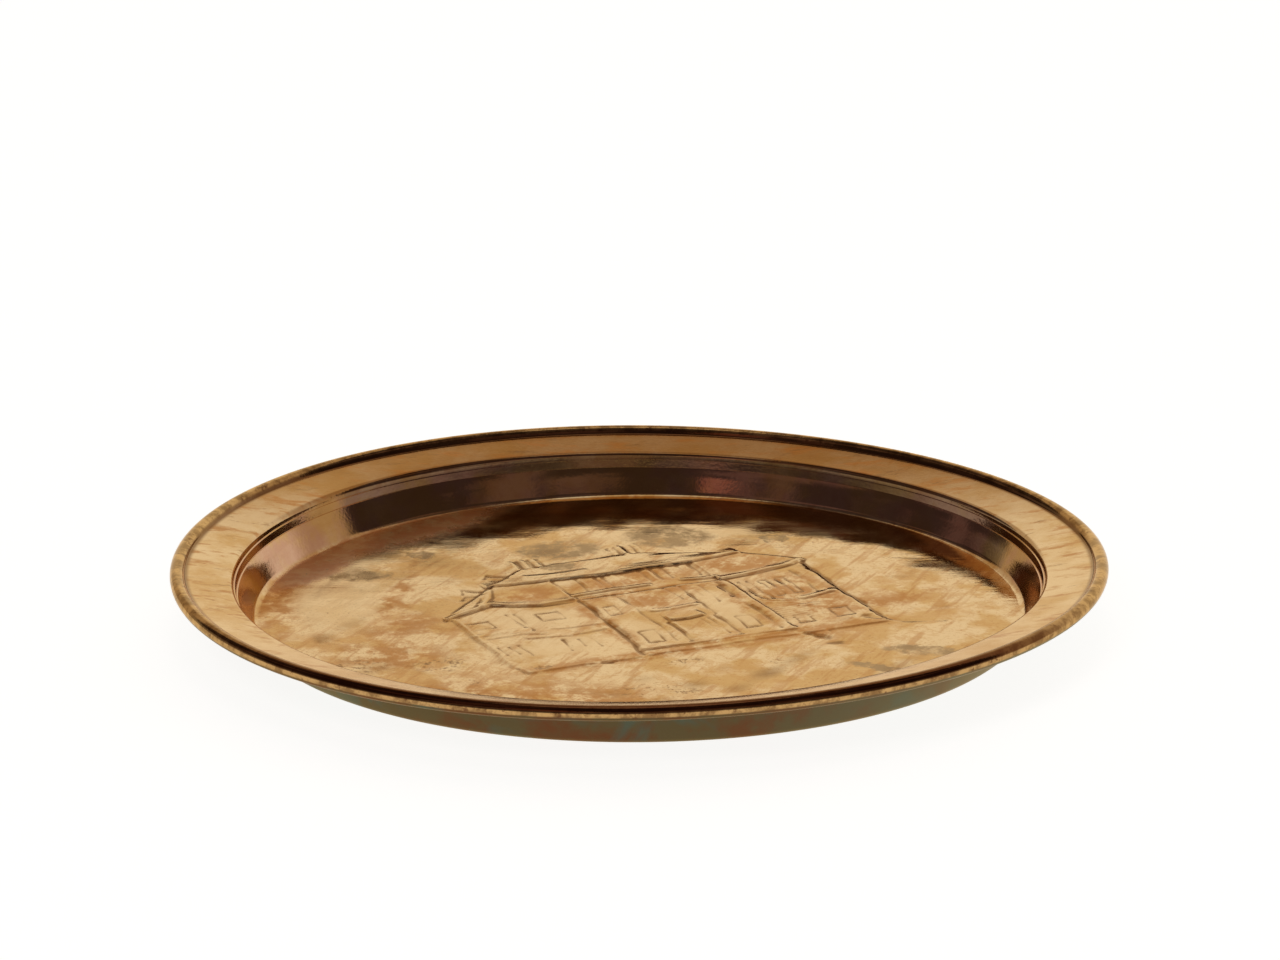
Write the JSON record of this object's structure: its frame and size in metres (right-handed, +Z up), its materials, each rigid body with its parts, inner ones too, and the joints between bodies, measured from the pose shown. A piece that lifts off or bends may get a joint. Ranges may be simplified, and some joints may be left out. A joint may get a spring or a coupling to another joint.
{
  "type": "embossed metal plate",
  "caption": "Round shallow metal dish with a rolled rim, narrow flange, stepped shoulder and a building raised in low relief on its flat floor.",
  "frame": {"origin": "centre of the flat base, in the plane it rests on", "axes": "+Z up out of the well along the plate's axis, +Y away from the viewer who faces the raised building, +X to the viewer's right; the building is turned 23.5 degrees anticlockwise from +X"},
  "size_m": [0.25, 0.25, 0.0178],
  "materials": {
    "aged_copper": "satin copper alloy, tarnished brown in the corners and rubbed to tan gold on the floor",
    "dark_wire": "dull drawn wire, darkened inside the rolled rim"
  },
  "bodies": {
    "root": {"dish": "aged_copper", "edge_wire": "dark_wire"}
  },
  "joints": []
}
